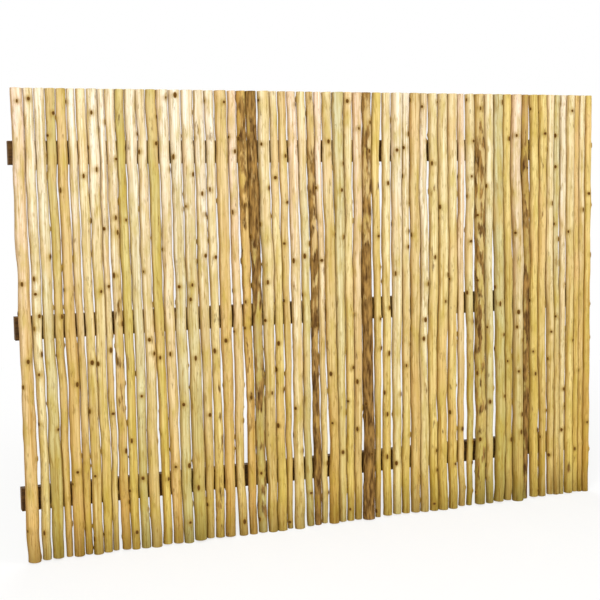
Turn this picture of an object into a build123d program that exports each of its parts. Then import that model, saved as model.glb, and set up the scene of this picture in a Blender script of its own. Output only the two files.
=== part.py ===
# Eucalyptus fence panel: round peeled poles nailed side by side to three sawn rails.
# X runs along the fence, Y from the poles at the front to the rails at the back, Z up.
# The origin is on the ground, in the middle of the panel's length and depth. Millimetres.
import os
from itertools import cycle
from random import Random
from build123d import *

# Panel
panel_height = 1800          # ground to the sawn tops of the poles
field_width = 2550           # outer edge of the first pole to outer edge of the last
seat_gap = 0.3               # from the back of a pole to the front of the rails
butt_unevenness = 8          # the lower ends stop at most this far above the ground

# Rails, sawn planks on edge
rail_height = 90
rail_thickness = 38
rail_overhang = 10           # rail past the outer edge of the first and the last pole
top_rail_drop = 238          # from the tops of the poles to the middle of the top rail
rail_spacing = 660           # from the middle of one rail to the middle of the next

# Poles, each peeled to long narrow facets and bent a little at every level
mean_diameter = 36.9
mean_gap = 4.9
tight_gap = 0.8              # neighbours never come closer than this
facets = 12
levels = [0, 0.2, 0.4, 0.6, 0.8, 1]     # where a pole's course bends, as shares of its height
swelling = 0.05              # share by which a pole may swell or thin at any level
bend = 8                     # how far a pole may stray from its own straight line
settling_sweeps = 200        # enough for crowded neighbours to share the room they have

# Each pole, counted from the left: its diameter at the top, the gap after it there, how far
# its butt stands to the right of its top, and its diameter at the butt. The gaps are
# percentages of the mean gap, all the others of the mean diameter.
poles_in_row = [
    (122, 10, 0, 135), (99, 10, 40, 90), (108, 70, 50, 120), (104, 185, 50, 74), (100, 20, 35, 118),
    (89, 10, 50, 79), (100, 40, 50, 102), (113, 30, 40, 93), (71, 15, 25, 68), (99, 10, 40, 97),
    (97, 40, 55, 89), (112, 25, 50, 96), (99, 40, 50, 115), (111, 10, 65, 99), (121, 30, 75, 103),
    (121, 95, 70, 109), (127, 155, 60, 138), (121, 215, 40, 92), (99, 70, 25, 97), (130, 10, 20, 111),
    (95, 105, 45, 98), (102, 60, 65, 88), (106, 400, 70, 98), (133, 10, 20, 107), (81, 275, 50, 111),
    (93, 105, 35, 68), (105, 70, 30, 111), (95, 295, 45, 79), (85, 35, 45, 74), (79, 10, 45, 73),
    (105, 170, 60, 114), (128, 190, 35, 88), (103, 125, -5, 86), (107, 40, -15, 87), (101, 340, 0, 132),
    (103, 335, -20, 68), (96, 90, -25, 102), (134, 25, -25, 102), (91, 10, -25, 102), (122, 10, -15, 106),
    (92, 235, 0, 105), (111, 10, 0, 102), (114, 255, 5, 124), (119, 70, -15, 103), (87, 235, 15, 81),
    (113, 90, 15, 69), (117, 10, 30, 129), (116, 90, 30, 91), (119, 100, 45, 115), (107, 95, 40, 95),
    (127, 95, 40, 131), (105, 175, 40, 68), (110, 100, 20, 106), (112, 10, 15, 89), (102, 45, 40, 83),
    (81, 10, 25, 81), (86, 65, 15, 68), (101, 60, 10, 105), (75, 35, 10, 77), (79, 25, 5, 68),
    (85, 0, 0, 88),
]
pairs = [24, 30, 40, 56, 59]     # a thin pole tight against its neighbour: the two make one sub-part

# Nails, flat-wire brads driven from behind with their heads flush with the rail
nail_width = 2.4
nail_bite = 14               # how deep a nail reaches into its pole
nail_stagger = 18            # above and below the middle of the rail, by turns

# What follows from the sizes above
pole_count = round(field_width / (mean_diameter + mean_gap))
indexes = range(pole_count)
rail_length = field_width + 2 * rail_overhang
top_rail_middle = panel_height - top_rail_drop
rail_middles = {
    "top": top_rail_middle,
    "middle": top_rail_middle - rail_spacing,
    "bottom": top_rail_middle - 2 * rail_spacing,
}
chance = Random(11)


def between(first, last, share):
    return first + (last - first) * share


def side_by_side(diameters, weights):
    # centres of a row of circles that fills the width, what is left shared out as gaps
    slack = field_width - sum(diameters) - tight_gap * (pole_count - 1)
    unit = slack / sum(weights[:-1])
    edge = -field_width / 2
    centres = []
    for diameter, weight in zip(diameters, weights):
        centres.append(edge + diameter / 2)
        edge += diameter + tight_gap + weight * unit
    return centres


def settled(centres, diameters):
    # neighbours that overlap push each other apart, by equal shares and again and again
    centres = list(centres)
    for sweep in range(settling_sweeps):
        for index in indexes[:-1]:
            reach = (diameters[index] + diameters[index + 1]) / 2 + tight_gap
            overlap = reach - (centres[index + 1] - centres[index])
            if overlap > 0:
                centres[index] -= overlap / 2
                centres[index + 1] += overlap / 2
    return centres


def pushed_apart(centres, diameters):
    # the same row with no circle over the edge of the field or too close to the next one
    centres = list(centres)
    limit = -field_width / 2
    for index in indexes:
        centres[index] = max(centres[index], limit + diameters[index] / 2)
        limit = centres[index] + diameters[index] / 2 + tight_gap
    limit = field_width / 2
    for index in reversed(indexes):
        centres[index] = min(centres[index], limit - diameters[index] / 2)
        limit = centres[index] - diameters[index] / 2 - tight_gap
    return centres


# The row of tops, and how each pole leans and tapers away from it
entries = [poles_in_row[index % len(poles_in_row)] for index in indexes]
top_diameters = [mean_diameter * top / 100 for top, gap, lean, butt in entries]
top_centres = side_by_side(top_diameters, [gap for top, gap, lean, butt in entries])
leans = [mean_diameter * lean / 100 for top, gap, lean, butt in entries]
butt_diameters = [mean_diameter * butt / 100 for top, gap, lean, butt in entries]
butt_heights = [chance.uniform(0, butt_unevenness) for index in indexes]
butt_heights = [height - min(butt_heights) for height in butt_heights]

# One row of centres and one of diameters at each level, the last of them at the tops
row_centres = []
row_diameters = []
for level in levels[:-1]:
    diameters = []
    wanted = []
    for index in indexes:
        tapered = between(butt_diameters[index], top_diameters[index], level)
        diameters.append(tapered * (1 + chance.uniform(-swelling, swelling)))
        straight = top_centres[index] + leans[index] * (1 - level)
        wanted.append(straight + chance.uniform(-bend, bend))
    wanted[0] = (diameters[0] - field_width) / 2         # the outer poles keep to the edges
    wanted[-1] = (field_width - diameters[-1]) / 2
    row_centres.append(pushed_apart(settled(wanted, diameters), diameters))
    row_diameters.append(diameters)
row_centres.append(top_centres)
row_diameters.append(top_diameters)

# The thickest pole and the rails share the panel's depth evenly about Y = 0
thickest = max(max(diameters) for diameters in row_diameters)
rail_front = (thickest + seat_gap - rail_thickness) / 2


def shape_pole(index):
    # loft of one facetted section at every level, with all the backs in line for the rails
    with BuildPart() as pole:
        for step, level in enumerate(levels):
            radius = row_diameters[step][index] / 2
            height = between(butt_heights[index], panel_height, level)
            with BuildSketch(Plane.XY.offset(height)):
                with Locations((row_centres[step][index], rail_front - seat_gap - radius)):
                    RegularPolygon(radius, facets, major_radius=False, rotation=180 / facets)
        loft(ruled=True)
    return pole.part


def pole_x(index, height):
    # centre of a pole at a height between two of its levels
    share = (height - butt_heights[index]) / (panel_height - butt_heights[index])
    step = max(k for k, level in enumerate(levels[:-1]) if level <= share)
    reach = (share - levels[step]) / (levels[step + 1] - levels[step])
    return between(row_centres[step][index], row_centres[step + 1][index], reach)


os.makedirs("parts", exist_ok=True)

for place, middle in rail_middles.items():
    with BuildPart() as rail:
        with Locations((0, rail_front, middle)):
            Box(rail_length, rail_thickness, rail_height, align=(Align.CENTER, Align.MIN, Align.CENTER))
    rail.part.label = f"rail_{place}"
    export_step(rail.part, f"parts/{rail.part.label}.step")

for index in indexes:
    number = index + 1
    if index in pairs:
        continue                 # built with the pole before it
    paired = number in pairs and number < pole_count
    with BuildPart() as poles:
        add(shape_pole(index))
        if paired:
            add(shape_pole(index + 1))
    poles.part.label = f"poles_{number:02d}_{number + 1:02d}" if paired else f"pole_{number:02d}"
    export_step(poles.part, f"parts/{poles.part.label}.step")

nail_length = rail_thickness + seat_gap + nail_bite
nail_places = []
for middle in rail_middles.values():
    for index, offset in zip(indexes, cycle([nail_stagger, -nail_stagger])):
        height = middle + offset
        nail_places.append((pole_x(index, height), rail_front + rail_thickness, height))
with BuildPart() as nails:
    with Locations(*nail_places):
        Box(nail_width, nail_length, nail_width, align=(Align.CENTER, Align.MAX, Align.CENTER))
nails.part.label = "nails"
export_step(nails.part, "parts/nails.step")
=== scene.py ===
# Eucalyptus fence panel: peeled poles nailed side by side to three stained rails.
# Metres. X runs along the fence, Y from the poles to the rails, Z up.
import math

import bmesh
import bpy
import numpy as np
from mathutils import Matrix, Vector, noise


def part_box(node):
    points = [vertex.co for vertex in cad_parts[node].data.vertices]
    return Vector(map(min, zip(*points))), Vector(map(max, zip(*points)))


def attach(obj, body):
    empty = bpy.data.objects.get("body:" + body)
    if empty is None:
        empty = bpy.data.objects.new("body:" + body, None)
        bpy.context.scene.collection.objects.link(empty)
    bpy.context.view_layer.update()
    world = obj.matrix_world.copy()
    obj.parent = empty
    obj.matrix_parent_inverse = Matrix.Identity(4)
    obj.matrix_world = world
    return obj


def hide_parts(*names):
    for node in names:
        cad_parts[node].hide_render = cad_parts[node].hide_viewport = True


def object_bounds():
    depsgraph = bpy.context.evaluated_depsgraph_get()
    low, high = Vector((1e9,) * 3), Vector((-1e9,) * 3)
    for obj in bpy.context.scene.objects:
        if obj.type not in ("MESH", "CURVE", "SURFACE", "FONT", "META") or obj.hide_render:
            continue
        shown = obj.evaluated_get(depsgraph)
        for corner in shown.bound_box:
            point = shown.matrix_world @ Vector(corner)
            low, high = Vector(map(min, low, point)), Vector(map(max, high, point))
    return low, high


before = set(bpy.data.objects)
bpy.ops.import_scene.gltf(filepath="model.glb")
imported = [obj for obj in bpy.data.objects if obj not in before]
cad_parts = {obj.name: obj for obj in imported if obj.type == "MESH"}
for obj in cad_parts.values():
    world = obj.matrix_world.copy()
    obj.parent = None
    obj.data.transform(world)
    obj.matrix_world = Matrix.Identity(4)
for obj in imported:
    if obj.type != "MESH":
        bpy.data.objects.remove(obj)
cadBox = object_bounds()
mm = 0.001
print("frame loaded,", len(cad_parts), "nodes")


def linear(hexColour):
    # sRGB hex to the linear red, green, blue and alpha that a socket holds
    parts = [int(hexColour[at:at + 2], 16) / 255 for at in (1, 3, 5)]
    return [p / 12.92 if p <= 0.04045 else ((p + 0.055) / 1.055) ** 2.4 for p in parts] + [1.0]


def addNode(tree, kind, settings=None, links=None):
    # a node, its settings by property or socket name, and what feeds its sockets: an output, or a
    # node where its first output is meant
    node = tree.nodes.new(kind)
    for name, value in (settings or {}).items():
        if isinstance(name, str) and hasattr(node, name):
            setattr(node, name, value)
        else:
            node.inputs[name].default_value = value
    for name, source in (links or {}).items():
        output = source.outputs[0] if isinstance(source, bpy.types.Node) else source
        tree.links.new(output, node.inputs[name])
    return node


def perSize(across, along):
    # pattern scale for features this wide and this tall, in millimetres
    return (1000 / across, 1000 / across, 1000 / along)


def startTree(name, inputs):
    # empty node tree with a geometry input, named inputs and a geometry output
    tree = bpy.data.node_groups.new(name, "GeometryNodeTree")
    tree.interface.new_socket("Geometry", in_out="INPUT", socket_type="NodeSocketGeometry")
    for label, value in inputs.items():
        kind = "NodeSocketInt" if isinstance(value, int) else "NodeSocketFloat"
        tree.interface.new_socket(label, in_out="INPUT", socket_type=kind).default_value = value
    tree.interface.new_socket("Geometry", in_out="OUTPUT", socket_type="NodeSocketGeometry")
    return tree, addNode(tree, "NodeGroupInput").outputs, addNode(tree, "NodeGroupOutput")


def startMaterial(name):
    # material with an empty node tree
    material = bpy.data.materials.new(name)
    material.use_nodes = True
    material.node_tree.nodes.clear()
    return material, material.node_tree


def grow(obj, tree, values):
    # runs a geometry tree on an object and keeps the result as its plain mesh
    modifier = obj.modifiers.new(tree.name, "NODES")
    modifier.node_group = tree
    for item in tree.interface.items_tree:
        if item.in_out == "INPUT" and item.name in values:
            modifier[item.identifier] = values[item.name]
    depsgraph = bpy.context.evaluated_depsgraph_get()
    mesh = bpy.data.meshes.new_from_object(obj.evaluated_get(depsgraph), depsgraph=depsgraph)
    obj.modifiers.remove(modifier)
    obj.data = mesh
    return obj


def addPiece(name, mesh):
    obj = bpy.data.objects.new(name, mesh)
    bpy.context.scene.collection.objects.link(obj)
    return obj


# Camera at the photo's viewing angle, in front of the left part and turned to the right
cameraPlan = {
    "lens": 71.35,
    "sensor": 36,
    "place": (-1.910, -4.532, 1.446),
    "right": 21.42,        # degrees that it turns right and looks down
    "down": 5.77,
    "roll": -0.87,
}


def placeCamera():
    data = bpy.data.cameras.new("camera")
    data.lens = cameraPlan["lens"]
    data.sensor_width = cameraPlan["sensor"]
    obj = bpy.data.objects.new("camera", data)
    bpy.context.scene.collection.objects.link(obj)
    turn = Matrix.Rotation(math.radians(-cameraPlan["right"]), 4, "Z")
    tilt = Matrix.Rotation(math.radians(90 - cameraPlan["down"]), 4, "X")
    roll = Matrix.Rotation(math.radians(cameraPlan["roll"]), 4, "Z")
    obj.matrix_world = Matrix.Translation(cameraPlan["place"]) @ turn @ tilt @ roll
    bpy.context.scene.camera = obj
    bpy.context.scene.view_settings.view_transform = "Standard"


# Soft studio: a wide lamp high at the front left, a weak one from the right, white all round
studio = {
    "ambient": 0.38,              # what the white room gives
    "key": {"place": (-2.9, -4.7, 4.8), "size": 2.6, "watts": 345},
    "fill": {"place": (4.2, -4.2, 3.6), "size": 3.0, "watts": 150},
    "back": {"place": (1.0, 4.8, 3.6), "size": 3.4, "watts": 150},
    "aim": (0, 0, 0.9),           # where the lamps point
    "floorSize": 60,
    "floorColour": "#F4F4F2",
    "floorWhite": (0.7, 1.0),     # share of the floor that always shows white, near and far
    "floorFar": (1.6, 5.0),       # metres from the panel between which it changes
}


def lightStudio():
    for name in ("key", "fill", "back"):
        plan = studio[name]
        data = bpy.data.lights.new(name, "AREA")
        data.size = plan["size"]
        data.energy = plan["watts"]
        obj = bpy.data.objects.new(name, data)
        bpy.context.scene.collection.objects.link(obj)
        obj.location = plan["place"]
        towards = Vector(studio["aim"]) - Vector(plan["place"])
        obj.rotation_euler = towards.to_track_quat("-Z", "Y").to_euler()
    world = bpy.data.worlds.new("whiteRoom")
    bpy.context.scene.world = world
    world.use_nodes = True
    tree = world.node_tree
    tree.nodes.clear()
    path = addNode(tree, "ShaderNodeLightPath").outputs
    seen = addNode(tree, "ShaderNodeMath", {"operation": "MAXIMUM"},
                   {0: path["Is Camera Ray"], 1: path["Is Glossy Ray"]})
    seen = addNode(tree, "ShaderNodeMath", {"operation": "MAXIMUM"},
                   {0: seen, 1: path["Is Transmission Ray"]})
    white = linear("#FFFFFF")
    room = addNode(tree, "ShaderNodeBackground", {"Color": white, "Strength": studio["ambient"]})
    shown = addNode(tree, "ShaderNodeBackground", {"Color": white})
    both = addNode(tree, "ShaderNodeMixShader", None, {0: seen, 1: room, 2: shown})
    addNode(tree, "ShaderNodeOutputWorld", None, {"Surface": both})


def layFloor():
    material, tree = startMaterial("paleFloor")
    path = addNode(tree, "ShaderNodeLightPath").outputs
    place = addNode(tree, "ShaderNodeTexCoord").outputs["Object"]
    away = addNode(tree, "ShaderNodeVectorMath", {"operation": "LENGTH"}, {0: place}).outputs["Value"]
    white = addNode(tree, "ShaderNodeMapRange",
                    {"From Min": studio["floorFar"][0], "From Max": studio["floorFar"][1],
                     "To Min": studio["floorWhite"][0], "To Max": studio["floorWhite"][1]}, {"Value": away})
    share = addNode(tree, "ShaderNodeMath", {"operation": "MULTIPLY"},
                    {0: path["Is Camera Ray"], 1: white})
    paint = addNode(tree, "ShaderNodeBsdfDiffuse", {"Color": linear(studio["floorColour"])})
    glow = addNode(tree, "ShaderNodeEmission", {"Color": linear("#FFFFFF")})
    both = addNode(tree, "ShaderNodeMixShader", None, {0: share, 1: paint, 2: glow})
    addNode(tree, "ShaderNodeOutputMaterial", None, {"Surface": both})
    half = studio["floorSize"] / 2
    mesh = bpy.data.meshes.new("floor")
    mesh.from_pydata([(-half, -half, 0), (half, -half, 0), (half, half, 0), (-half, half, 0)],
                     [], [(0, 1, 2, 3)])
    mesh.materials.append(material)
    addPiece("floor", mesh)


placeCamera()
lightStudio()
layFloor()
print("camera and studio ready")


# Poles

# Where the CAD poles bend, as shares of their length from the ground
bends = (0, 0.2, 0.4, 0.6, 0.8, 1)

# Wood tints by letter, and two letters for each pole from the left: at its top and at the ground
woodTints = {
    "w": "#F0E8D6",        # white sapwood
    "p": "#F0DDCA",        # pinkish white
    "c": "#EBDFBA",        # cream
    "y": "#E4D08C",        # yellow
    "o": "#C8BD82",        # olive
    "g": "#D3B470",        # gold
    "t": "#DDC898",        # tan
    "a": "#E0C290",        # apricot
    "e": "#D3CEA8",        # greenish grey
    "b": "#B39257",        # brown
}
poleTints = """
    pa wc wo oa ta wg ct wy wt wg  oy we wt oy wa we wo wt wy ta
    pt ga be ct cy tt pc ce tb pc  cg ec cy pt tb yt cy wc wy tt
    wc cy cy cy pt co to ce eo yo  po bo yy yt ct et wc cy ay cg  yg
""".split()

# Bark left on by pole number, at the ground, the four bends and the top: 0 none, 1 all round
barkLeft = {
    10: (0.1, 0.2, 0.36, 0.3, 0.1, 0.1),
    19: (0.35, 0.3, 0.2, 0.2, 0.3, 0.1),
    22: (0.25, 0.3, 0.3, 0.4, 0.45, 0.5),
    23: (0.42, 0.46, 0.5, 0.56, 0.76, 0.55),
    29: (0.66, 0.62, 0.62, 0.55, 0.5, 0.42),
    35: (1.0, 1.0, 0.92, 0.66, 0.56, 0.5),
    47: (0.3, 0.4, 0.44, 0.5, 0.5, 0.36),
    52: (0.6, 0.66, 0.64, 0.54, 0.4, 0.3),
}
barkElsewhere = (0.17,) * len(bends)      # a speck here and there on all the other poles

# How far a pole may stand aside of its CAD solid to share out the gaps beside it
standAside = {
    "left": 3.5 * mm,          # at the left end of the row, and less and less to the right
    "right": 0.5 * mm,
    "pull": 0.25,              # share of the difference of its gaps that it moves at a time
    "sweeps": 60,
}

# The peeled pole's sizes, in metres where they are lengths
poleShape = {
    "Rings": 200,
    "Sides": 24,
    "Drift": 3.0 * mm,         # most that neighbours stray together
    "Sway": 2.0 * mm,          # most that a pole strays into the gap beside it
    "Bow": 2.5 * mm,           # most that it bows forward, off the rails
    "Swell": 0.06,             # share of the radius
    "Ripple": 0.8 * mm,        # long flats left by the peeling
    "Bark relief": 1.5 * mm,
    "Knot spacing": 48 * mm,
    "Knots per square metre": 85.0,
    "Knot swell": 1.8 * mm,
    "Knot margin": 22 * mm,    # the sawn ends stay free of them
    "Cut edge": 1.2 * mm,      # worn edge of the sawn ends
    "Cut face": 0.93,          # what it leaves of their width
    "Seed": 0,
}

# Noise that shapes a pole: size across and along it in millimetres, detail, and how far it
# strays from its middle value of 0.5
poleNoise = {
    "stray": (900, 210, 1.5, 0.2),       # each pole's own bends and swellings
    "drift": (260, 150, 1.0, 0.25),      # bends that neighbours share
    "flats": (13, 170, 2.0, 0.25),       # left by the peeling
}
seedStep = 7.3                           # sets the noise of one pole apart from the next one's

knotPlan = {
    "least": (3.6 * mm, 5.6 * mm, 1.3 * mm),      # half width, half height and rise
    "most": (8.0 * mm, 13.0 * mm, 2.6 * mm),
    "swelling": (22 * mm, 4 * mm),                # where the wood begins to swell, and is at its most
    "heart": (0.65, 0.4),                         # reach of the sunken heart, and what it leaves of the rise
    "segments": 14,
    "rings": 8,
}

# Where bark shows: noise of this scale is added to the attribute bark, and shows between from and to
barkPatch = {"scale": perSize(20, 80), "detail": 5.0, "spread": 1.6, "from": 1.22, "to": 1.38}


def shellsOf(node):
    # the separate solids of a CAD node, each as its list of points, from left to right
    merged = bmesh.new()
    merged.from_mesh(node.data)
    bmesh.ops.remove_doubles(merged, verts=merged.verts, dist=0.01 * mm)
    shells = []
    met = set()
    for start in merged.verts:
        if start in met:
            continue
        met.add(start)
        shell = [start]
        for vert in shell:
            for edge in vert.link_edges:
                other = edge.other_vert(vert)
                if other not in met:
                    met.add(other)
                    shell.append(other)
        shells.append([vert.co.copy() for vert in shell])
    merged.free()
    return sorted(shells, key=lambda shell: sum(point.x for point in shell) / len(shell))


def readPoles():
    # each pole's number, node, and middle and radius at every level of the CAD solid
    poles = []
    for name, node in sorted(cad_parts.items()):
        if not name.startswith("pole"):
            continue
        numbers = [int(part) for part in name.split("_")[1:]]
        for number, shell in zip(numbers, shellsOf(node)):
            low, high = min(point.z for point in shell), max(point.z for point in shell)
            stations = []
            for share in bends:
                height = low + (high - low) * share
                ring = [point for point in shell if abs(point.z - height) < 1 * mm]
                middle = sum(ring, Vector()) / len(ring)
                radius = max((point - middle).length for point in ring)
                stations.append((middle, radius * math.cos(math.pi / len(ring))))
            poles.append({"number": number, "node": name, "stations": stations})
    return sorted(poles, key=lambda pole: pole["number"])


def gapBetween(poles, at, step):
    # from the pole at this place in the row to the next one
    middle, radius = poles[at]["stations"][step]
    nextMiddle, nextRadius = poles[at + 1]["stations"][step]
    return nextMiddle.x - middle.x - radius - nextRadius


def evenOut(poles):
    # every pole but the outer two moves a little towards the wider of its gaps, at every level
    limits = np.linspace(standAside["left"], standAside["right"], len(poles))
    for step in range(len(bends)):
        stood = [pole["stations"][step][0].x for pole in poles]
        for sweep in range(standAside["sweeps"]):
            for at in range(1, len(poles) - 1):
                middle = poles[at]["stations"][step][0]
                wider = gapBetween(poles, at, step) - gapBetween(poles, at - 1, step)
                aside = middle.x - stood[at] + wider * standAside["pull"]
                middle.x = stood[at] + max(-limits[at], min(limits[at], aside))


def shareRoom(poles):
    # half of the gap on the left and on the right of each pole, at every level
    for pole in poles:
        pole["room"] = [[0, 0] for step in bends]
    for step in range(len(bends)):
        for at in range(len(poles) - 1):
            half = max(0, gapBetween(poles, at, step)) / 2
            poles[at]["room"][step][1] = half
            poles[at + 1]["room"][step][0] = half


def poleLines(poles):
    # one line for each pole, with what the node tree needs at every level as attributes
    mesh = bpy.data.meshes.new("line")
    points, edges = [], []
    values = {"girth": [], "room": [], "tint": [], "bark": [], "seed": []}
    cut = poleShape["Cut edge"]
    last = len(bends) - 1
    for pole in poles:
        number = pole["number"]
        top, ground = (np.array(linear(woodTints[letter])) for letter in poleTints[number - 1])
        for step, (middle, radius) in enumerate(pole["stations"]):
            lift = cut if step == 0 else -cut if step == last else 0
            if step > 0:
                edges.append((len(points) - 1, len(points)))
            points.append(middle + Vector((0, 0, lift)))
            values["girth"].append(radius)
            values["room"].append((*pole["room"][step], 0))
            values["tint"].append(ground + (top - ground) * step / last)
            values["bark"].append(barkLeft.get(number, barkElsewhere)[step])
            values["seed"].append(number * seedStep)
    mesh.from_pydata(points, edges, [])
    for name, kind, field in (
        ("girth", "FLOAT", "value"),
        ("room", "FLOAT_VECTOR", "vector"),
        ("tint", "FLOAT_COLOR", "color"),
        ("bark", "FLOAT", "value"),
        ("seed", "FLOAT", "value"),
    ):
        attribute = mesh.attributes.new(name, kind, "POINT")
        attribute.data.foreach_set(field, np.array(values[name], np.float32).ravel())
    return mesh


def peeledPoleTree(wood, sawnEnd):
    # a line becomes a crooked pole with flats, bark, swollen knots and sawn ends
    tree, given, result = startTree("peeledPole", poleShape)
    place = addNode(tree, "GeometryNodeInputPosition").outputs[0]
    read = {}
    for name, kind in (("seed", "FLOAT"), ("girth", "FLOAT"), ("bark", "FLOAT"), ("room", "FLOAT_VECTOR")):
        read[name] = addNode(tree, "GeometryNodeInputNamedAttribute", {"data_type": kind, "Name": name})
    noises, spread = {}, {}
    for name, (across, along, detail, reach) in poleNoise.items():
        scaled = addNode(tree, "ShaderNodeVectorMath",
                         {"operation": "MULTIPLY", 1: perSize(across, along)}, {0: place})
        own = {} if name == "drift" else {"W": read["seed"]}      # neighbours share the drift
        noises[name] = addNode(tree, "ShaderNodeTexNoise",
                               {"noise_dimensions": "4D" if own else "3D", "Scale": 1, "Detail": detail},
                               {"Vector": scaled, **own})
        spread[name] = {"From Min": 0.5 - reach, "From Max": 0.5 + reach, "To Min": -1, "To Max": 1}

    # smooth course through the levels, in short even steps
    line = addNode(tree, "GeometryNodeMeshToCurve", None, {"Mesh": given["Geometry"]})
    line = addNode(tree, "GeometryNodeCurveSplineType", {"spline_type": "CATMULL_ROM"}, {"Curve": line})
    line = addNode(tree, "GeometryNodeSetSplineResolution", {"Resolution": 40}, {"Geometry": line})
    line = addNode(tree, "GeometryNodeResampleCurve", {"mode": "COUNT"},
                   {"Curve": line, "Count": given["Rings"]})

    # it strays into the room beside it, and bows a little forward
    strays = addNode(tree, "ShaderNodeSeparateXYZ", None, {0: noises["stray"].outputs["Color"]}).outputs
    leftRoom, rightRoom = addNode(tree, "ShaderNodeSeparateXYZ", None, {0: read["room"]}).outputs[:2]
    reach = poleNoise["stray"][3]
    sides = []
    for side, limit in ((-1, leftRoom), (1, rightRoom)):
        share = addNode(tree, "ShaderNodeMapRange",
                        {"From Min": 0.5, "From Max": 0.5 + side * reach, "To Min": 0, "To Max": side},
                        {"Value": strays[0]})
        most = addNode(tree, "ShaderNodeMath", {"operation": "MINIMUM"}, {0: limit, 1: given["Sway"]})
        sides.append(addNode(tree, "ShaderNodeMath", {"operation": "MULTIPLY"}, {0: share, 1: most}))
    aside = addNode(tree, "ShaderNodeMath", {"operation": "ADD"}, {0: sides[0], 1: sides[1]})
    drift = addNode(tree, "ShaderNodeMapRange", spread["drift"], {"Value": noises["drift"]})
    aside = addNode(tree, "ShaderNodeMath", {"operation": "MULTIPLY_ADD"},
                    {0: drift, 1: given["Drift"], 2: aside})
    forward = addNode(tree, "ShaderNodeMapRange", {**spread["stray"], "To Min": 0, "To Max": -1},
                      {"Value": strays[1]})
    forward = addNode(tree, "ShaderNodeMath", {"operation": "MULTIPLY"}, {0: forward, 1: given["Bow"]})
    offset = addNode(tree, "ShaderNodeCombineXYZ", None, {"X": aside, "Y": forward})
    line = addNode(tree, "GeometryNodeSetPosition", None, {"Geometry": line, "Offset": offset})

    # round section, thicker and thinner by turns
    swell = addNode(tree, "ShaderNodeMapRange", spread["stray"], {"Value": strays[2]})
    swell = addNode(tree, "ShaderNodeMath", {"operation": "MULTIPLY_ADD", 2: 1},
                    {0: swell, 1: given["Swell"]})
    radius = addNode(tree, "ShaderNodeMath", {"operation": "MULTIPLY"}, {0: read["girth"], 1: swell})
    middle = addNode(tree, "GeometryNodeCaptureAttribute", {"domain": "POINT"}, {0: line})
    middle.capture_items.new("VECTOR", "Middle")
    tree.links.new(place, middle.inputs[1])
    circle = addNode(tree, "GeometryNodeCurvePrimitiveCircle", {"Radius": 1},
                     {"Resolution": given["Sides"]})
    tube = addNode(tree, "GeometryNodeCurveToMesh", {"Fill Caps": True},
                   {"Curve": middle, "Profile Curve": circle, "Scale": radius})
    heart = addNode(tree, "ShaderNodeVectorMath", {"operation": "SUBTRACT"},
                    {0: place, 1: middle.outputs[1]})
    outward = addNode(tree, "ShaderNodeVectorMath", {"operation": "NORMALIZE"}, {0: heart})

    # long flats from the peeling, and bark standing proud in patches
    flats = addNode(tree, "ShaderNodeMapRange", spread["flats"], {"Value": noises["flats"]})
    flats = addNode(tree, "ShaderNodeMath", {"operation": "MULTIPLY"}, {0: flats, 1: given["Ripple"]})
    patch = addNode(tree, "ShaderNodeVectorMath", {"operation": "MULTIPLY", 1: barkPatch["scale"]},
                    {0: place})
    patch = barkShare(tree, patch, read["bark"])
    lift = addNode(tree, "ShaderNodeMath", {"operation": "MULTIPLY_ADD"},
                   {0: patch, 1: given["Bark relief"], 2: flats})
    lift = addNode(tree, "ShaderNodeVectorMath", {"operation": "SCALE"}, {0: outward, "Scale": lift})
    tube = addNode(tree, "GeometryNodeSetPosition", None, {"Geometry": tube, "Offset": lift})

    # knots scattered over the sides, away from the sawn ends
    corners = addNode(tree, "GeometryNodeInputMeshFaceNeighbors")
    isSide = addNode(tree, "FunctionNodeCompare", {"data_type": "INT", "operation": "LESS_EQUAL", 3: 4},
                     {2: corners})
    height = addNode(tree, "ShaderNodeSeparateXYZ", None, {0: place}).outputs[2]
    toEnd = addNode(tree, "ShaderNodeMath", {"operation": "PINGPONG", 1: cadBox[1][2] / 2}, {0: height})
    isFree = addNode(tree, "FunctionNodeCompare", {"data_type": "FLOAT", "operation": "GREATER_THAN"},
                     {0: toEnd, 1: given["Knot margin"]})
    holds = addNode(tree, "FunctionNodeBooleanMath", {"operation": "AND"}, {0: isSide, 1: isFree})
    spots = addNode(tree, "GeometryNodeDistributePointsOnFaces", {"distribute_method": "POISSON"},
                    {"Mesh": tube, "Selection": holds, "Distance Min": given["Knot spacing"],
                     "Density Max": given["Knots per square metre"], "Seed": given["Seed"]})
    near = addNode(tree, "GeometryNodeProximity", {"target_element": "POINTS"}, {"Geometry": spots})
    begins, full = knotPlan["swelling"]
    halo = addNode(tree, "ShaderNodeMapRange",
                   {"interpolation_type": "SMOOTHSTEP", "From Min": begins, "From Max": full},
                   {"Value": near.outputs["Distance"]})
    bulge = addNode(tree, "ShaderNodeMath", {"operation": "MULTIPLY"}, {0: halo, 1: given["Knot swell"]})
    bulge = addNode(tree, "ShaderNodeVectorMath", {"operation": "SCALE"}, {0: outward, "Scale": bulge})
    tube = addNode(tree, "GeometryNodeSetPosition", None, {"Geometry": tube, "Offset": bulge})
    for name, kind, value in (("halo", "FLOAT", halo), ("heart", "FLOAT_VECTOR", heart)):
        tube = addNode(tree, "GeometryNodeStoreNamedAttribute",
                       {"data_type": kind, "domain": "POINT", "Name": name},
                       {"Geometry": tube, "Value": value})
    normal = spots.outputs["Normal"]
    bulge = addNode(tree, "ShaderNodeVectorMath", {"operation": "SCALE"},
                    {0: normal, "Scale": given["Knot swell"]})
    spots = addNode(tree, "GeometryNodeSetPosition", None, {"Geometry": spots, "Offset": bulge})
    faces = addNode(tree, "FunctionNodeAlignRotationToVector", {"axis": "Z"}, {"Vector": normal})
    faces = addNode(tree, "FunctionNodeAlignRotationToVector",
                    {"axis": "Y", "pivot_axis": "Z", "Vector": (0, 0, 1)}, {"Rotation": faces})
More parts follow.
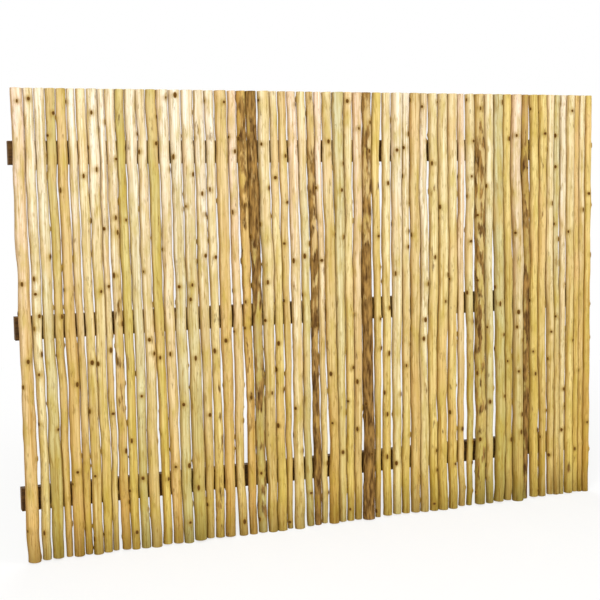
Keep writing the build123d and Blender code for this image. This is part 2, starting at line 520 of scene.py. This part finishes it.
    sizes = addNode(tree, "FunctionNodeRandomValue",
                    {"data_type": "FLOAT_VECTOR", 0: knotPlan["least"], 1: knotPlan["most"]},
                    {"Seed": given["Seed"]})
    knots = addNode(tree, "GeometryNodeInstanceOnPoints", None,
                    {"Points": spots, "Instance": knotShape(tree, place),
                     "Rotation": faces, "Scale": sizes})
    knots = addNode(tree, "GeometryNodeRealizeInstances", None, {"Geometry": knots})
    knots = addNode(tree, "GeometryNodeSetMaterial", {"Material": wood}, {"Geometry": knots})

    # smooth sides, sawn ends with a worn edge
    isEnd = addNode(tree, "FunctionNodeCompare", {"data_type": "INT", "operation": "GREATER_THAN", 3: 4},
                    {2: corners})
    ends = addNode(tree, "GeometryNodeExtrudeMesh", {"mode": "FACES", "Individual": False},
                   {"Mesh": tube, "Selection": isEnd, "Offset Scale": given["Cut edge"]})
    top, side = ends.outputs["Top"], ends.outputs["Side"]
    whole = addNode(tree, "GeometryNodeScaleElements", {"domain": "FACE"},
                    {"Geometry": ends, "Selection": top, "Scale": given["Cut face"]})
    whole = addNode(tree, "GeometryNodeSetShadeSmooth", {"domain": "FACE", "Shade Smooth": True},
                    {"Geometry": whole})
    edges = addNode(tree, "FunctionNodeBooleanMath", {"operation": "OR"}, {0: top, 1: side})
    whole = addNode(tree, "GeometryNodeSetShadeSmooth", {"domain": "FACE", "Shade Smooth": False},
                    {"Geometry": whole, "Selection": edges})
    whole = addNode(tree, "GeometryNodeSetMaterial", {"Material": wood}, {"Geometry": whole})
    whole = addNode(tree, "GeometryNodeSetMaterial", {"Material": sawnEnd},
                    {"Geometry": whole, "Selection": top})
    joined = addNode(tree, "GeometryNodeJoinGeometry", None, {0: whole})
    tree.links.new(knots.outputs[0], joined.inputs[0])
    tree.links.new(joined.outputs[0], result.inputs[0])
    return tree


def barkShare(tree, place, bark):
    # from 0 on bare wood to 1 under bark, the same sum for the relief and for the colour
    patch = addNode(tree, "ShaderNodeTexNoise", {"Scale": 1, "Detail": barkPatch["detail"]},
                    {"Vector": place})
    patch = addNode(tree, "ShaderNodeMath", {"operation": "MULTIPLY_ADD", 1: barkPatch["spread"]},
                    {0: patch, 2: bark})
    return addNode(tree, "ShaderNodeMapRange",
                   {"From Min": barkPatch["from"], "From Max": barkPatch["to"]}, {"Value": patch})


def knotShape(tree, place):
    # low dome with a raised rim and a sunken heart; the attribute knot runs from 0 at its foot to 1
    ball = addNode(tree, "GeometryNodeMeshUVSphere",
                   {"Segments": knotPlan["segments"], "Rings": knotPlan["rings"], "Radius": 1})
    x, y, z = addNode(tree, "ShaderNodeSeparateXYZ", None, {0: place}).outputs
    flat = addNode(tree, "ShaderNodeCombineXYZ", None, {"X": x, "Y": y})
    out = addNode(tree, "ShaderNodeVectorMath", {"operation": "LENGTH"}, {0: flat}).outputs["Value"]
    reach, left = knotPlan["heart"]
    sink = addNode(tree, "ShaderNodeMapRange",
                   {"interpolation_type": "SMOOTHSTEP", "From Max": reach, "To Min": left}, {"Value": out})
    height = addNode(tree, "ShaderNodeMath", {"operation": "MULTIPLY"}, {0: z, 1: sink})
    shaped = addNode(tree, "ShaderNodeCombineXYZ", None, {"X": x, "Y": y, "Z": height})
    core = addNode(tree, "ShaderNodeMath", {"operation": "SUBTRACT", 0: 1.0}, {1: out})
    stored = {"data_type": "FLOAT", "domain": "POINT"}
    dome = addNode(tree, "GeometryNodeStoreNamedAttribute", {**stored, "Name": "knot"},
                   {"Geometry": ball, "Value": core})
    dome = addNode(tree, "GeometryNodeStoreNamedAttribute", {**stored, "Name": "halo", "Value": 1.0},
                   {"Geometry": dome})
    dome = addNode(tree, "GeometryNodeSetPosition", None, {"Geometry": dome, "Position": shaped})
    return addNode(tree, "GeometryNodeSetShadeSmooth", {"Shade Smooth": True}, {"Geometry": dome})


# The wood's noises: size across and along the pole in millimetres, and detail
woodGrain = {
    "band": (12, 420, 1.0),        # broad bands
    "streak": (4.2, 230, 3.0),     # silky light and dark lines
    "olive": (34, 105, 3.0),       # stains of the inner bark
    "peach": (70, 260, 1.0),
    "stain": (8, 42, 4.0),         # brown inner bark left on in specks
    "check": (2.6, 300, 1.0),      # drying checks run where this crosses its middle
    "checked": (20, 120, 1.0),     # and only in places
    "fibre": (0.9, 22, 2.0),       # coarser than real fibres, so that they show
}
fissureGrain = (11, 55, 4.0)       # furrows of the bark

# Where each layer begins and where it is at its full, by its noise if nothing else is said, and
# how much of it shows there
woodShows = {
    "band": (0.4, 0.7, 0.7),
    "streak": (0.42, 0.66, 0.62),
    "olive": (0.47, 0.7, 0.6),
    "peach": (0.54, 0.72, 0.3),
    "stain": (0.55, 0.68, 0.55),
    "checked": (0.52, 0.62, 0.8),
    "check": (0.012, 0.003, 1),    # by how near it is to its middle
    "paintedFlankShade": (0.66, 0.97, 0.5),    # painted shade between the poles, by how far the skin faces to the side
    "low": (1.5, 0, 0.55),         # by height in metres: deeper towards the ground, partly painted shade and partly damp
    "ground": (0.16, 0, 0.6),
    "halo": (0, 1, 0.7),           # by the attributes halo and knot
    "knotRim": (0.02, 0.12, 1),
    "knotCore": (0.12, 0.36, 1),
    "fissure": (0.36, 0.66, 1),
}
woodColours = {
    "band": "#E0CF9C",
    "streak": "#BE9E48",
    "olive": "#B69F42",
    "peach": "#E2BA8C",
    "stain": "#957428",
    "check": "#5F4420",
    # painted shade where neighbouring poles shade each other's sides
    "paintedFlankShade": "#B48C1C",
    # partly painted shade and partly damp, deeper towards the ground
    "low": "#EADF73",
    "ground": "#8E8452",
    "halo": "#9A7A30",
    "barkLight": "#A17C40",
    "barkDark": "#4E3210",
    "knotRim": "#876424",
    "knotCore": "#5A3B12",
}
woodFinish = {
    "fibres": 0.5,                 # relief of the fibres and of the bark's furrows, the streaks' being 1
    "furrows": 1.6,
    "strength": 0.6,
    "depth": 0.6 * mm,
    "rough": (0.58, 0.82),         # on dark and on light streaks
    "ior": 1.45,
    "specular": 0.15,
}


def peeledEucalyptus():
    # Peeled eucalyptus: long silky streaks from the spokeshave, thin drying checks, dark knots
    # in an olive ring and stringy brown bark where the peeling missed it
    material, tree = startMaterial("peeledEucalyptus")
    place = addNode(tree, "ShaderNodeTexCoord").outputs["Object"]
    normal = addNode(tree, "ShaderNodeTexCoord").outputs["Normal"]
    read = {}
    for name in ("seed", "bark", "halo", "knot"):
        read[name] = addNode(tree, "ShaderNodeAttribute", {"attribute_name": name}).outputs["Fac"]
    layer = {}
    for name, (across, along, detail) in woodGrain.items():
        scaled = addNode(tree, "ShaderNodeMapping", {"Scale": perSize(across, along)}, {"Vector": place})
        layer[name] = addNode(tree, "ShaderNodeTexNoise",
                              {"noise_dimensions": "4D", "Scale": 1, "Detail": detail},
                              {"Vector": scaled, "W": read["seed"]})
    across, along, detail = fissureGrain
    furrow = addNode(tree, "ShaderNodeMapping", {"Scale": perSize(across, along)}, {"Vector": place})
    furrow = addNode(tree, "ShaderNodeTexNoise", {"Scale": 1, "Detail": detail}, {"Vector": furrow})

    # how strongly each layer shows
    near = addNode(tree, "ShaderNodeMath", {"operation": "SUBTRACT", 1: 0.5}, {0: layer["check"]})
    near = addNode(tree, "ShaderNodeMath", {"operation": "ABSOLUTE"}, {0: near})
    # painted shade: the sides of each pole that face its neighbours darken, as if shaded by them
    sideShadeMask = addNode(tree, "ShaderNodeSeparateXYZ", None, {0: normal})
    sideShadeMask = addNode(tree, "ShaderNodeMath", {"operation": "ABSOLUTE"}, {0: sideShadeMask})
    height = addNode(tree, "ShaderNodeSeparateXYZ", None, {0: place}).outputs[2]
    follows = {**layer, "check": near, "paintedFlankShade": sideShadeMask, "low": height, "ground": height,
               "halo": read["halo"], "knotRim": read["knot"], "knotCore": read["knot"], "fissure": furrow}
    shows = {}
    for name, (begins, full, most) in woodShows.items():
        shows[name] = addNode(tree, "ShaderNodeMapRange",
                              {"From Min": begins, "From Max": full, "To Max": most},
                              {"Value": follows[name]})
    shows["check"] = addNode(tree, "ShaderNodeMath", {"operation": "MULTIPLY"},
                             {0: shows["check"], 1: shows["checked"]})
    patch = addNode(tree, "ShaderNodeMapping", {"Scale": barkPatch["scale"]}, {"Vector": place})
    shows["bark"] = barkShare(tree, patch, read["bark"])
    colour = {name: linear(code) for name, code in woodColours.items()}
    barkTone = addNode(tree, "ShaderNodeMix",
                       {"data_type": "RGBA", 6: colour["barkDark"], 7: colour["barkLight"]},
                       {0: shows["fissure"]})

    # one over the other, from the tint up
    shown = addNode(tree, "ShaderNodeAttribute", {"attribute_name": "tint"}).outputs["Color"]
    for blend, name in (
        ("MULTIPLY", "band"),
        ("MULTIPLY", "streak"),
        ("MIX", "olive"),
        ("MIX", "peach"),
        ("MIX", "stain"),
        # painted shade between the poles
        ("MULTIPLY", "paintedFlankShade"),
        ("MIX", "check"),
        # partly painted shade, deeper towards the ground
        ("MULTIPLY", "low"),
        ("MULTIPLY", "ground"),
        ("MIX", "halo"),
        ("MIX", "bark"),
        ("MIX", "knotRim"),
        ("MIX", "knotCore"),
    ):
        mixed = addNode(tree, "ShaderNodeMix", {"data_type": "RGBA", "blend_type": blend},
                        {0: shows[name], 6: shown})
        if name == "bark":
            tree.links.new(barkTone.outputs[2], mixed.inputs[7])
        else:
            mixed.inputs[7].default_value = colour[name]
        shown = mixed.outputs[2]

    # relief and gloss
    rise = addNode(tree, "ShaderNodeMath", {"operation": "MULTIPLY_ADD", 1: woodFinish["fibres"]},
                   {0: layer["fibre"], 2: layer["streak"]})
    rise = addNode(tree, "ShaderNodeMath", {"operation": "SUBTRACT"}, {0: rise, 1: shows["check"]})
    deep = addNode(tree, "ShaderNodeMath", {"operation": "MULTIPLY"},
                   {0: shows["fissure"], 1: shows["bark"]})
    rise = addNode(tree, "ShaderNodeMath", {"operation": "MULTIPLY_ADD", 1: woodFinish["furrows"]},
                   {0: deep, 2: rise})
    bump = addNode(tree, "ShaderNodeBump",
                   {"Strength": woodFinish["strength"], "Distance": woodFinish["depth"]},
                   {"Height": rise})
    dark, light = woodFinish["rough"]
    rough = addNode(tree, "ShaderNodeMapRange",
                    {"From Min": 0.3, "From Max": 0.7, "To Min": dark, "To Max": light},
                    {"Value": layer["streak"]})
    surface = addNode(tree, "ShaderNodeBsdfPrincipled",
                      {"IOR": woodFinish["ior"], "Specular IOR Level": woodFinish["specular"]},
                      {"Base Color": shown, "Roughness": rough, "Normal": bump})
    addNode(tree, "ShaderNodeOutputMaterial", None, {"Surface": surface})
    return material


endGrain = {
    "light": "#DCC391",
    "dark": "#B28E55",
    "pith": "#5C4020",
    "crack": "#4A3216",
    "ring": 1.9 * mm,                  # from one growth ring to the next
    "wobble": (160, 7.0),              # scale and strength of the rings' unevenness
    "pithEdge": (2.2 * mm, 0.8 * mm),  # from the heart
    "cracks": 2.5,                     # checks round the heart
    "crackEdge": (0.992, 1.0, 0.8),    # where a check begins and is at its full, and what shows of it
}


def sawnEndGrain():
    # Sawn across: fine growth rings round the heart, a dark pith and a few radial checks
    material, tree = startMaterial("sawnEndGrain")
    heart = addNode(tree, "ShaderNodeAttribute", {"attribute_name": "heart"}).outputs["Vector"]
    place = addNode(tree, "ShaderNodeTexCoord").outputs["Object"]
    out = addNode(tree, "ShaderNodeVectorMath", {"operation": "LENGTH"}, {0: heart}).outputs["Value"]
    scale, strength = endGrain["wobble"]
    turned = addNode(tree, "ShaderNodeTexNoise", {"Scale": scale, "Detail": 2}, {"Vector": place})
    turned = addNode(tree, "ShaderNodeMath", {"operation": "MULTIPLY", 1: strength}, {0: turned})
    wave = addNode(tree, "ShaderNodeMath",
                   {"operation": "MULTIPLY_ADD", 1: 2 * math.pi / endGrain["ring"]},
                   {0: out, 2: turned})
    wave = addNode(tree, "ShaderNodeMath", {"operation": "SINE"}, {0: wave})
    rings = addNode(tree, "ShaderNodeMapRange", {"From Min": -1, "From Max": 1}, {"Value": wave})
    begins, full = endGrain["pithEdge"]
    pith = addNode(tree, "ShaderNodeMapRange", {"From Min": begins, "From Max": full}, {"Value": out})
    x, y = addNode(tree, "ShaderNodeSeparateXYZ", None, {0: heart}).outputs[:2]
    angle = addNode(tree, "ShaderNodeMath", {"operation": "ARCTAN2"}, {0: y, 1: x})
    angle = addNode(tree, "ShaderNodeMath", {"operation": "MULTIPLY_ADD", 1: endGrain["cracks"]},
                    {0: angle, 2: turned})
    begins, full, most = endGrain["crackEdge"]
    crack = addNode(tree, "ShaderNodeMath", {"operation": "SINE"}, {0: angle})
    crack = addNode(tree, "ShaderNodeMapRange", {"From Min": begins, "From Max": full, "To Max": most},
                    {"Value": crack})
    shown = addNode(tree, "ShaderNodeMix",
                    {"data_type": "RGBA", 6: linear(endGrain["light"]), 7: linear(endGrain["dark"])},
                    {0: rings}).outputs[2]
    for name, share in (("pith", pith), ("crack", crack)):
        shown = addNode(tree, "ShaderNodeMix", {"data_type": "RGBA", 7: linear(endGrain[name])},
                        {0: share, 6: shown}).outputs[2]
    rise = addNode(tree, "ShaderNodeMath", {"operation": "SUBTRACT"}, {0: rings, 1: crack})
    bump = addNode(tree, "ShaderNodeBump", {"Strength": 0.5, "Distance": 0.3 * mm}, {"Height": rise})
    surface = addNode(tree, "ShaderNodeBsdfPrincipled",
                      {"IOR": 1.45, "Specular IOR Level": 0.2, "Roughness": 0.85},
                      {"Base Color": shown, "Normal": bump})
    addNode(tree, "ShaderNodeOutputMaterial", None, {"Surface": surface})
    return material


poles = readPoles()
evenOut(poles)
shareRoom(poles)
poleTree = peeledPoleTree(peeledEucalyptus(), sawnEndGrain())
poleNodes = sorted({pole["node"] for pole in poles})
for nodeName in poleNodes:
    members = [pole for pole in poles if pole["node"] == nodeName]
    piece = addPiece("peeled_" + nodeName, poleLines(members))
    grow(piece, poleTree, {**poleShape, "Seed": members[0]["number"]})
    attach(piece, "root")
    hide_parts(nodeName)
print("poles ready,", len(poles), "in", len(poleNodes), "pieces")


# Rails, sawn planks on edge behind the poles
plankShape = {
    "step": 15 * mm,           # between the cross-sections
    "parts": 4,                # of a long side of the section
    "edge": 1.5 * mm,          # worn arris
    "hollow": 0.7 * mm,        # most that a sawn face lies below the CAD face
    "wave": (0.19, 0.03),      # length along and across of its unevenness
}


def sawnPlank(name, low, high):
    # cross-sections with worn edges along X, every face a little uneven, closed at both ends
    middle = (low + high) / 2
    halfY, halfZ = (high.y - low.y) / 2, (high.z - low.z) / 2
    edge = plankShape["edge"]
    section = []
    for ySign, zSign in ((-1, -1), (1, -1), (1, 1), (-1, 1)):
        near = (ySign * (halfY - edge), zSign * halfZ)
        far = (ySign * halfY, zSign * (halfZ - edge))
        section += [near, far] if ySign * zSign < 0 else [far, near]
    outline = []
    for at, (y, z) in enumerate(section):       # long faces get points between their corners
        nextY, nextZ = section[(at + 1) % len(section)]
        parts = 1 if math.hypot(nextY - y, nextZ - z) < 3 * edge else plankShape["parts"]
        outline += [(y + (nextY - y) * k / parts, z + (nextZ - z) * k / parts) for k in range(parts)]
    length = high.x - low.x
    steps = round(length / plankShape["step"])
    along, across = plankShape["wave"]
    mesh = bmesh.new()
    rings = []
    for step in range(steps + 1):
        x = low.x + length * step / steps
        ring = []
        for y, z in outline:
            sample = Vector((x / along, y / across, (middle.z + z) / across))
            inset = plankShape["hollow"] * (0.5 + 0.5 * noise.noise(sample))
            spot = (x, middle.y + y * (1 - inset / halfY), middle.z + z * (1 - inset / halfZ))
            ring.append(mesh.verts.new(spot))
        rings.append(ring)
    count = len(outline)
    for first, second in zip(rings, rings[1:]):
        for at in range(count):
            mesh.faces.new((first[at], first[(at + 1) % count], second[(at + 1) % count], second[at]))
    mesh.faces.new(list(reversed(rings[0])))
    mesh.faces.new(rings[-1])
    bmesh.ops.recalc_face_normals(mesh, faces=mesh.faces)
    data = bpy.data.meshes.new(name)
    mesh.to_mesh(data)
    mesh.free()
    return addPiece(name, data)


plankColours = {
    "dark": "#2E1C06",
    "light": "#5A3C14",
    "end": "#6E4E26",
    "worn": "#76541F",
}

# The plank's noises: size across and along it in millimetres, detail and distortion
plankGrain = {
    "grain": (5, 240, 4.0, 0.4),
    "saw": (50, 3.2, 1.0, 0),          # upright marks of the saw
    "worn": (30, 400, 4.0, 0),
}


def stainedPlank():
    # Sawn softwood, stained dark brown: long grain, the saw's upright marks, raw brown at the cut ends
    material, tree = startMaterial("stainedPlank")
    place = addNode(tree, "ShaderNodeTexCoord").outputs["Object"]
    colour = {name: linear(code) for name, code in plankColours.items()}
    layer = {}
    for name, (across, along, detail, distortion) in plankGrain.items():
        scaled = addNode(tree, "ShaderNodeMapping", {"Scale": perSize(across, along)[::-1]},
                         {"Vector": place})
        layer[name] = addNode(tree, "ShaderNodeTexNoise",
                              {"Scale": 1, "Detail": detail, "Distortion": distortion},
                              {"Vector": scaled})
    share = addNode(tree, "ShaderNodeMapRange", {"From Min": 0.35, "From Max": 0.68},
                    {"Value": layer["grain"]})
    thin = addNode(tree, "ShaderNodeMapRange", {"From Min": 0.55, "From Max": 0.75, "To Max": 0.6},
                   {"Value": layer["worn"]})
    facing = addNode(tree, "ShaderNodeTexCoord").outputs["Normal"]
    facing = addNode(tree, "ShaderNodeSeparateXYZ", None, {0: facing})
    facing = addNode(tree, "ShaderNodeMath", {"operation": "ABSOLUTE"}, {0: facing})
    isEnd = addNode(tree, "ShaderNodeMapRange", {"From Min": 0.7, "From Max": 0.9, "To Max": 0.75},
                    {"Value": facing})
    shown = addNode(tree, "ShaderNodeMix", {"data_type": "RGBA", 6: colour["dark"], 7: colour["light"]},
                    {0: share}).outputs[2]
    for name, share in (("worn", thin), ("end", isEnd)):
        shown = addNode(tree, "ShaderNodeMix", {"data_type": "RGBA", 7: colour[name]},
                        {0: share, 6: shown}).outputs[2]
    rise = addNode(tree, "ShaderNodeMath", {"operation": "MULTIPLY_ADD", 1: 0.7},
                   {0: layer["saw"], 2: layer["grain"]})
    bump = addNode(tree, "ShaderNodeBump", {"Strength": 0.6, "Distance": 0.5 * mm}, {"Height": rise})
    rough = addNode(tree, "ShaderNodeMapRange", {"To Min": 0.6, "To Max": 0.9},
                    {"Value": layer["grain"]})
    surface = addNode(tree, "ShaderNodeBsdfPrincipled", {"IOR": 1.45, "Specular IOR Level": 0.25},
                      {"Base Color": shown, "Roughness": rough, "Normal": bump})
    addNode(tree, "ShaderNodeOutputMaterial", None, {"Surface": surface})
    return material


plankFinish = stainedPlank()
for nodeName in ("rail_top", "rail_middle", "rail_bottom"):
    piece = sawnPlank("sawn_" + nodeName, *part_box(nodeName))
    piece.data.materials.append(plankFinish)
    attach(piece, "root")
    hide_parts(nodeName)
print("rails ready")


# Nails, brads driven from behind
nailShape = {
    "Shank": 2.4 * mm,
    "Length": 52.3 * mm,
    "Tip": 5.0 * mm,
    "Head": 4.2 * mm,
    "Head thickness": 0.8 * mm,
    "Tip width": 0.25,         # share of the shank's width
    "Crown": 0.7,              # share of the head's width that its back has
}
zincColours = {"dark": "#8E8E8A", "light": "#BDBDB8", "rust": "#6E4426"}


def nailTree(steel):
    # each point is the back of a head; the shank runs forward from it to a tapered tip
    tree, given, result = startTree("brad", nailShape)
    place = addNode(tree, "GeometryNodeInputPosition").outputs[0]
    size = addNode(tree, "ShaderNodeCombineXYZ", None,
                   {"X": given["Shank"], "Y": given["Length"], "Z": given["Shank"]})
    shank = addNode(tree, "GeometryNodeMeshCube", {"Vertices Y": 3}, {"Size": size})
    y = addNode(tree, "ShaderNodeSeparateXYZ", None, {0: place}).outputs[1]
    half = addNode(tree, "ShaderNodeMath", {"operation": "MULTIPLY", 1: 0.5}, {0: given["Length"]})
    # the middle ring moves forward to where the tip begins, and the front ring draws in
    atTip = addNode(tree, "FunctionNodeCompare",
                    {"data_type": "FLOAT", "operation": "LESS_THAN", 1: -1 * mm}, {0: y})
    inMiddle = addNode(tree, "FunctionNodeCompare",
                       {"data_type": "FLOAT", "operation": "EQUAL", 1: 0.0, "Epsilon": 1 * mm}, {0: y})
    forward = addNode(tree, "ShaderNodeMath", {"operation": "SUBTRACT"}, {0: given["Tip"], 1: half})
    forward = addNode(tree, "ShaderNodeCombineXYZ", None, {"Y": forward})
    drawn = addNode(tree, "ShaderNodeCombineXYZ", {"Y": 1},
                    {"X": given["Tip width"], "Z": given["Tip width"]})
    drawn = addNode(tree, "ShaderNodeVectorMath", {"operation": "MULTIPLY"}, {0: place, 1: drawn})
    shank = addNode(tree, "GeometryNodeSetPosition", None,
                    {"Geometry": shank, "Selection": atTip, "Position": drawn})
    shank = addNode(tree, "GeometryNodeSetPosition", None,
                    {"Geometry": shank, "Selection": inMiddle, "Offset": forward})
    back = addNode(tree, "ShaderNodeMath", {"operation": "MULTIPLY", 1: -1}, {0: half})
    back = addNode(tree, "ShaderNodeCombineXYZ", None, {"Y": back})
    shank = addNode(tree, "GeometryNodeSetPosition", None, {"Geometry": shank, "Offset": back})
    radius = addNode(tree, "ShaderNodeMath", {"operation": "MULTIPLY", 1: 0.5}, {0: given["Head"]})
    crown = addNode(tree, "ShaderNodeMath", {"operation": "MULTIPLY"}, {0: radius, 1: given["Crown"]})
    head = addNode(tree, "GeometryNodeMeshCone", {"fill_type": "NGON", "Vertices": 12},
                   {"Radius Top": crown, "Radius Bottom": radius, "Depth": given["Head thickness"]})
    head = addNode(tree, "GeometryNodeTransform", {"Rotation": (math.radians(-90), 0, 0)},
                   {"Geometry": head})
    brad = addNode(tree, "GeometryNodeJoinGeometry", None, {0: shank})
    tree.links.new(head.outputs[0], brad.inputs[0])
    points = addNode(tree, "GeometryNodeMeshToPoints", None, {"Mesh": given["Geometry"]})
    brads = addNode(tree, "GeometryNodeInstanceOnPoints", None, {"Points": points, "Instance": brad})
    brads = addNode(tree, "GeometryNodeRealizeInstances", None, {"Geometry": brads})
    brads = addNode(tree, "GeometryNodeSetMaterial", {"Material": steel}, {"Geometry": brads})
    tree.links.new(brads.outputs[0], result.inputs[0])
    return tree


def galvanisedSteel():
    # Galvanised wire: dull grey zinc, blotched, with a little rust round the head
    material, tree = startMaterial("galvanisedSteel")
    colour = {name: linear(code) for name, code in zincColours.items()}
    place = addNode(tree, "ShaderNodeTexCoord").outputs["Object"]
    zinc = addNode(tree, "ShaderNodeTexNoise", {"Scale": 900, "Detail": 2.0}, {"Vector": place})
    rust = addNode(tree, "ShaderNodeTexNoise", {"Scale": 260, "Detail": 2.0}, {"Vector": place})
    shown = addNode(tree, "ShaderNodeMix", {"data_type": "RGBA", 6: colour["dark"], 7: colour["light"]},
                    {0: zinc}).outputs[2]
    share = addNode(tree, "ShaderNodeMapRange", {"From Min": 0.52, "From Max": 0.66, "To Max": 0.8},
                    {"Value": rust})
    shown = addNode(tree, "ShaderNodeMix", {"data_type": "RGBA", 7: colour["rust"]},
                    {0: share, 6: shown}).outputs[2]
    bump = addNode(tree, "ShaderNodeBump", {"Strength": 0.4, "Distance": 0.1 * mm}, {"Height": zinc})
    rough = addNode(tree, "ShaderNodeMapRange", {"To Min": 0.4, "To Max": 0.7}, {"Value": zinc})
    metal = addNode(tree, "ShaderNodeMapRange",
                    {"From Min": 0.5, "From Max": 0.7, "To Min": 1, "To Max": 0},
                    {"Value": rust})
    surface = addNode(tree, "ShaderNodeBsdfPrincipled", None,
                      {"Base Color": shown, "Roughness": rough, "Metallic": metal, "Normal": bump})
    addNode(tree, "ShaderNodeOutputMaterial", None, {"Surface": surface})
    return material


def nailBacks():
    # the middle of every nail's back end, from the CAD node
    spots = []
    for shell in shellsOf(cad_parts["nails"]):
        back = max(point.y for point in shell)
        middle = sum(shell, Vector()) / len(shell)
        spots.append((middle.x, back, middle.z))
    mesh = bpy.data.meshes.new("nailBacks")
    mesh.from_pydata(spots, [], [])
    return mesh


piece = addPiece("brads", nailBacks())
grow(piece, nailTree(galvanisedSteel()), nailShape)
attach(piece, "root")
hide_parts("nails")
print("nails ready")
